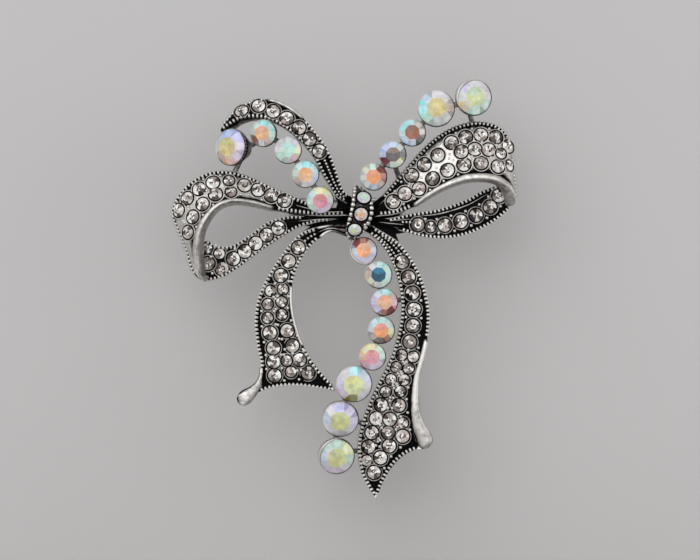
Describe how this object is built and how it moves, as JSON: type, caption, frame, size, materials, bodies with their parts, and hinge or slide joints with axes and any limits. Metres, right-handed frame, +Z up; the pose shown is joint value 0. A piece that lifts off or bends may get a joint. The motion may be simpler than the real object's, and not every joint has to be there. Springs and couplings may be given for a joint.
{
  "type": "brooch",
  "caption": "Ribbon-bow brooch: cast loops and tails set with small stones, a crowned knot, sprays of iridescent stones in collets, and a hinged pin with a turning catch on the back.",
  "frame": {"origin": "on the axis of the closed pin, inside its shank and behind the left side of the bow", "axes": "+X to the viewer's right along the pin, +Z up as worn, front towards -Y"},
  "size_m": [0.0541, 0.0103, 0.0654],
  "materials": {
    "cast_metal": "cast white metal with a silver-tone plate, blackened in the recesses and polished back on the raised edges",
    "collet_metal": "cast white metal with a silver-tone plate, blackened",
    "fitting_metal": "silver-tone plate",
    "pin_steel": "bright drawn wire",
    "clear_stone": "cut glass with a foil back",
    "iridescent_stone": "cut glass with a foil back and an iridescent coat"
  },
  "bodies": {
    "bow": {"left_arch": "cast_metal", "left_loop_band": "cast_metal", "left_loop_return": "cast_metal", "right_loop_band": "cast_metal", "right_loop_return": "cast_metal", "left_tail": "cast_metal", "right_tail": "cast_metal", "knot": "cast_metal", "left_arch_stones": "clear_stone", "left_band_stones": "clear_stone", "left_return_stones": "clear_stone", "right_band_stones": "clear_stone", "right_return_stones": "clear_stone", "left_tail_stones": "clear_stone", "right_tail_stones": "clear_stone", "knot_stones": "iridescent_stone", "left_spray_collets": "collet_metal", "right_spray_collets": "collet_metal", "tail_spray_collets": "collet_metal", "left_spray_stone_1": "iridescent_stone", "left_spray_stone_2": "iridescent_stone", "left_spray_stone_3": "iridescent_stone", "left_spray_stone_4": "iridescent_stone", "left_spray_stone_5": "iridescent_stone", "right_spray_stone_1": "iridescent_stone", "right_spray_stone_2": "iridescent_stone", "right_spray_stone_3": "iridescent_stone", "right_spray_stone_4": "iridescent_stone", "right_spray_stone_5": "iridescent_stone", "tail_spray_stone_1": "iridescent_stone", "tail_spray_stone_2": "iridescent_stone", "tail_spray_stone_3": "iridescent_stone", "tail_spray_stone_4": "iridescent_stone", "tail_spray_stone_5": "iridescent_stone", "tail_spray_stone_6": "iridescent_stone", "tail_spray_stone_7": "iridescent_stone", "tail_spray_stone_8": "iridescent_stone", "hinge_bracket": "fitting_metal", "hinge_rivet": "pin_steel", "catch_housing": "fitting_metal"},
    "pin": {"pin_stem": "pin_steel"},
    "lock": {"catch_lock": "pin_steel"}
  },
  "joints": [
    {"name": "pin_swing", "type": "hinge", "parent": "bow", "child": "pin", "pos_m": [0.01613, 0, 0], "axis": [0, 0, -1], "range_deg": [0, 100]},
    {"name": "catch_turn", "type": "hinge", "parent": "bow", "child": "lock", "pos_m": [-0.01442, 0, 0], "axis": [1, 0, 0], "range_deg": [0, 110]}
  ]
}
